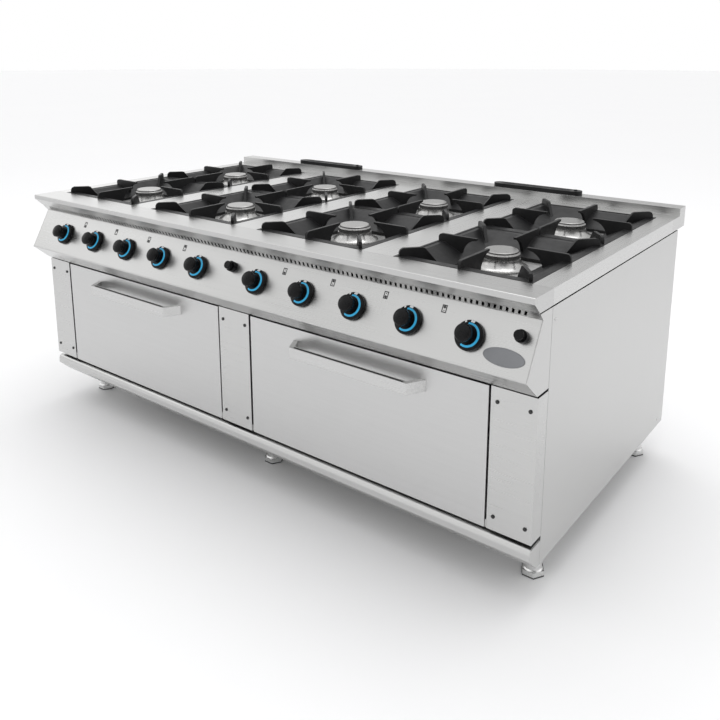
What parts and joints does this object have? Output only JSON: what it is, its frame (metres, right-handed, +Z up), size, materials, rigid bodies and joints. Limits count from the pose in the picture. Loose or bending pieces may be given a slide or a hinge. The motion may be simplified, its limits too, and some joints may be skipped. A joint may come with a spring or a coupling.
{
  "type": "commercial gas range",
  "caption": "Free-standing stainless commercial gas range: open burners with cast pan supports over two drop-door ovens, with a sloped control panel and hex feet.",
  "frame": {"origin": "on the floor, under the middle of the overall bounding box", "axes": "+X to the cook's right along the long side, +Y to the wall, +Z up"},
  "size_m": [1.6, 0.9288, 0.689],
  "materials": {
    "brushed_steel": "fine brushed stainless, satin",
    "door_steel": "fine brushed stainless, satin",
    "handle_steel": "bright brushed stainless",
    "plain_steel": "plain mill finish",
    "foot_steel": "satin stainless",
    "cast_iron": "matt black enamel, fine cast texture",
    "burner_metal": "polished",
    "black_plastic": "satin black",
    "black_screw": "black",
    "oven_enamel": "dark enamel",
    "wire_steel": "bright wire",
    "gas_brass": "machined",
    "gas_pipe": "grey",
    "seal_rubber": "matt"
  },
  "bodies": {
    "cabinet": {"base_pan": "plain_steel", "burner_bodies": "burner_metal", "burner_wells": "plain_steel", "control_panel": "brushed_steel", "cover_panels": "brushed_steel", "cover_screws": "black_screw", "door_hinge_pins": "plain_steel", "door_seals": "seal_rubber", "feet": "foot_steel", "flue_grilles": "cast_iron", "gas_pipework": "gas_pipe", "gas_taps": "gas_brass", "igniter_bezels": "black_plastic", "kick_rail": "brushed_steel", "oven_burners": "wire_steel", "oven_front_frame": "plain_steel", "oven_liners": "oven_enamel", "oven_soles": "oven_enamel", "panel_end_cheeks": "brushed_steel", "rear_panel": "plain_steel", "rear_upstand": "brushed_steel", "side_panels": "brushed_steel", "worktop_front": "brushed_steel", "worktop_lanes": "brushed_steel"},
    "door_left": {"door_skin_left": "door_steel", "door_inner_panel_left": "plain_steel", "door_handle_left": "handle_steel"},
    "door_right": {"door_skin_right": "door_steel", "door_inner_panel_right": "plain_steel", "door_handle_right": "handle_steel"},
    "knob_burner_1": {"knob_burner_1": "black_plastic"},
    "knob_burner_2": {"knob_burner_2": "black_plastic"},
    "knob_burner_3": {"knob_burner_3": "black_plastic"},
    "knob_burner_4": {"knob_burner_4": "black_plastic"},
    "knob_oven_left": {"knob_oven_left": "black_plastic"},
    "knob_oven_right": {"knob_oven_right": "black_plastic"},
    "knob_burner_5": {"knob_burner_5": "black_plastic"},
    "knob_burner_6": {"knob_burner_6": "black_plastic"},
    "knob_burner_7": {"knob_burner_7": "black_plastic"},
    "knob_burner_8": {"knob_burner_8": "black_plastic"},
    "igniter_button_left": {"igniter_button_left": "black_plastic"},
    "igniter_button_right": {"igniter_button_right": "black_plastic"},
    "pan_support_front_1": {"pan_support_front_1": "cast_iron"},
    "pan_support_front_2": {"pan_support_front_2": "cast_iron"},
    "pan_support_front_3": {"pan_support_front_3": "cast_iron"},
    "pan_support_front_4": {"pan_support_front_4": "cast_iron"},
    "pan_support_rear_1": {"pan_support_rear_1": "cast_iron"},
    "pan_support_rear_2": {"pan_support_rear_2": "cast_iron"},
    "pan_support_rear_3": {"pan_support_rear_3": "cast_iron"},
    "pan_support_rear_4": {"pan_support_rear_4": "cast_iron"},
    "burner_cap_front_1": {"burner_cap_front_1": "burner_metal"},
    "burner_cap_front_2": {"burner_cap_front_2": "burner_metal"},
    "burner_cap_front_3": {"burner_cap_front_3": "burner_metal"},
    "burner_cap_front_4": {"burner_cap_front_4": "burner_metal"},
    "burner_cap_rear_1": {"burner_cap_rear_1": "burner_metal"},
    "burner_cap_rear_2": {"burner_cap_rear_2": "burner_metal"},
    "burner_cap_rear_3": {"burner_cap_rear_3": "burner_metal"},
    "burner_cap_rear_4": {"burner_cap_rear_4": "burner_metal"},
    "oven_shelf_left": {"oven_shelf_left": "wire_steel"},
    "oven_shelf_right": {"oven_shelf_right": "wire_steel"}
  },
  "joints": [
    {"name": "door_left_hinge", "type": "hinge", "parent": "cabinet", "child": "door_left", "pos_m": [-0.378, -0.38985, 0.162], "axis": [1, 0, 0], "range_deg": [0, 90], "stiffness_Nm_per_rad": 3, "springref_deg": -22.92},
    {"name": "door_right_hinge", "type": "hinge", "parent": "cabinet", "child": "door_right", "pos_m": [0.378, -0.38985, 0.162], "axis": [1, 0, 0], "range_deg": [0, 90], "stiffness_Nm_per_rad": 3, "springref_deg": -22.92},
    {"name": "knob_burner_1_turn", "type": "hinge", "parent": "cabinet", "child": "knob_burner_1", "pos_m": [-0.664, -0.42535, 0.55275], "axis": [0, -0.874, 0.486], "range_deg": [0, 180]},
    {"name": "knob_burner_2_turn", "type": "hinge", "parent": "cabinet", "child": "knob_burner_2", "pos_m": [-0.52, -0.42535, 0.55275], "axis": [0, -0.874, 0.486], "range_deg": [0, 180]},
    {"name": "knob_burner_3_turn", "type": "hinge", "parent": "cabinet", "child": "knob_burner_3", "pos_m": [-0.377, -0.42535, 0.55275], "axis": [0, -0.874, 0.486], "range_deg": [0, 180]},
    {"name": "knob_burner_4_turn", "type": "hinge", "parent": "cabinet", "child": "knob_burner_4", "pos_m": [-0.235, -0.42535, 0.55275], "axis": [0, -0.874, 0.486], "range_deg": [0, 180]},
    {"name": "knob_oven_left_turn", "type": "hinge", "parent": "cabinet", "child": "knob_oven_left", "pos_m": [-0.092, -0.42535, 0.55275], "axis": [0, -0.874, 0.486], "range_deg": [0, 270]},
    {"name": "knob_oven_right_turn", "type": "hinge", "parent": "cabinet", "child": "knob_oven_right", "pos_m": [0.109, -0.42535, 0.55275], "axis": [0, -0.874, 0.486], "range_deg": [0, 270]},
    {"name": "knob_burner_5_turn", "type": "hinge", "parent": "cabinet", "child": "knob_burner_5", "pos_m": [0.251, -0.42535, 0.55275], "axis": [0, -0.874, 0.486], "range_deg": [0, 180]},
    {"name": "knob_burner_6_turn", "type": "hinge", "parent": "cabinet", "child": "knob_burner_6", "pos_m": [0.392, -0.42535, 0.55275], "axis": [0, -0.874, 0.486], "range_deg": [0, 180]},
    {"name": "knob_burner_7_turn", "type": "hinge", "parent": "cabinet", "child": "knob_burner_7", "pos_m": [0.531, -0.42535, 0.55275], "axis": [0, -0.874, 0.486], "range_deg": [0, 180]},
    {"name": "knob_burner_8_turn", "type": "hinge", "parent": "cabinet", "child": "knob_burner_8", "pos_m": [0.669, -0.42535, 0.55275], "axis": [0, -0.874, 0.486], "range_deg": [0, 180]},
    {"name": "igniter_button_left_press", "type": "slide", "parent": "cabinet", "child": "igniter_button_left", "axis": [0, 0.874, -0.486], "range_m": [0, 0.004], "stiffness_N_per_m": 400},
    {"name": "igniter_button_right_press", "type": "slide", "parent": "cabinet", "child": "igniter_button_right", "axis": [0, 0.874, -0.486], "range_m": [0, 0.004], "stiffness_N_per_m": 400},
    {"name": "pan_support_front_1_lift", "type": "slide", "parent": "cabinet", "child": "pan_support_front_1", "axis": [0, 0, 1], "range_m": [0, 0.12]},
    {"name": "pan_support_front_2_lift", "type": "slide", "parent": "cabinet", "child": "pan_support_front_2", "axis": [0, 0, 1], "range_m": [0, 0.12]},
    {"name": "pan_support_front_3_lift", "type": "slide", "parent": "cabinet", "child": "pan_support_front_3", "axis": [0, 0, 1], "range_m": [0, 0.12]},
    {"name": "pan_support_front_4_lift", "type": "slide", "parent": "cabinet", "child": "pan_support_front_4", "axis": [0, 0, 1], "range_m": [0, 0.12]},
    {"name": "pan_support_rear_1_lift", "type": "slide", "parent": "cabinet", "child": "pan_support_rear_1", "axis": [0, 0, 1], "range_m": [0, 0.12]},
    {"name": "pan_support_rear_2_lift", "type": "slide", "parent": "cabinet", "child": "pan_support_rear_2", "axis": [0, 0, 1], "range_m": [0, 0.12]},
    {"name": "pan_support_rear_3_lift", "type": "slide", "parent": "cabinet", "child": "pan_support_rear_3", "axis": [0, 0, 1], "range_m": [0, 0.12]},
    {"name": "pan_support_rear_4_lift", "type": "slide", "parent": "cabinet", "child": "pan_support_rear_4", "axis": [0, 0, 1], "range_m": [0, 0.12]},
    {"name": "burner_cap_front_1_lift", "type": "slide", "parent": "cabinet", "child": "burner_cap_front_1", "axis": [0, 0, 1], "range_m": [0, 0.06]},
    {"name": "burner_cap_front_2_lift", "type": "slide", "parent": "cabinet", "child": "burner_cap_front_2", "axis": [0, 0, 1], "range_m": [0, 0.06]},
    {"name": "burner_cap_front_3_lift", "type": "slide", "parent": "cabinet", "child": "burner_cap_front_3", "axis": [0, 0, 1], "range_m": [0, 0.06]},
    {"name": "burner_cap_front_4_lift", "type": "slide", "parent": "cabinet", "child": "burner_cap_front_4", "axis": [0, 0, 1], "range_m": [0, 0.06]},
    {"name": "burner_cap_rear_1_lift", "type": "slide", "parent": "cabinet", "child": "burner_cap_rear_1", "axis": [0, 0, 1], "range_m": [0, 0.06]},
    {"name": "burner_cap_rear_2_lift", "type": "slide", "parent": "cabinet", "child": "burner_cap_rear_2", "axis": [0, 0, 1], "range_m": [0, 0.06]},
    {"name": "burner_cap_rear_3_lift", "type": "slide", "parent": "cabinet", "child": "burner_cap_rear_3", "axis": [0, 0, 1], "range_m": [0, 0.06]},
    {"name": "burner_cap_rear_4_lift", "type": "slide", "parent": "cabinet", "child": "burner_cap_rear_4", "axis": [0, 0, 1], "range_m": [0, 0.06]},
    {"name": "oven_shelf_left_slide", "type": "slide", "parent": "cabinet", "child": "oven_shelf_left", "axis": [0, -1, 0], "range_m": [0, 0.045]},
    {"name": "oven_shelf_right_slide", "type": "slide", "parent": "cabinet", "child": "oven_shelf_right", "axis": [0, -1, 0], "range_m": [0, 0.045]}
  ]
}
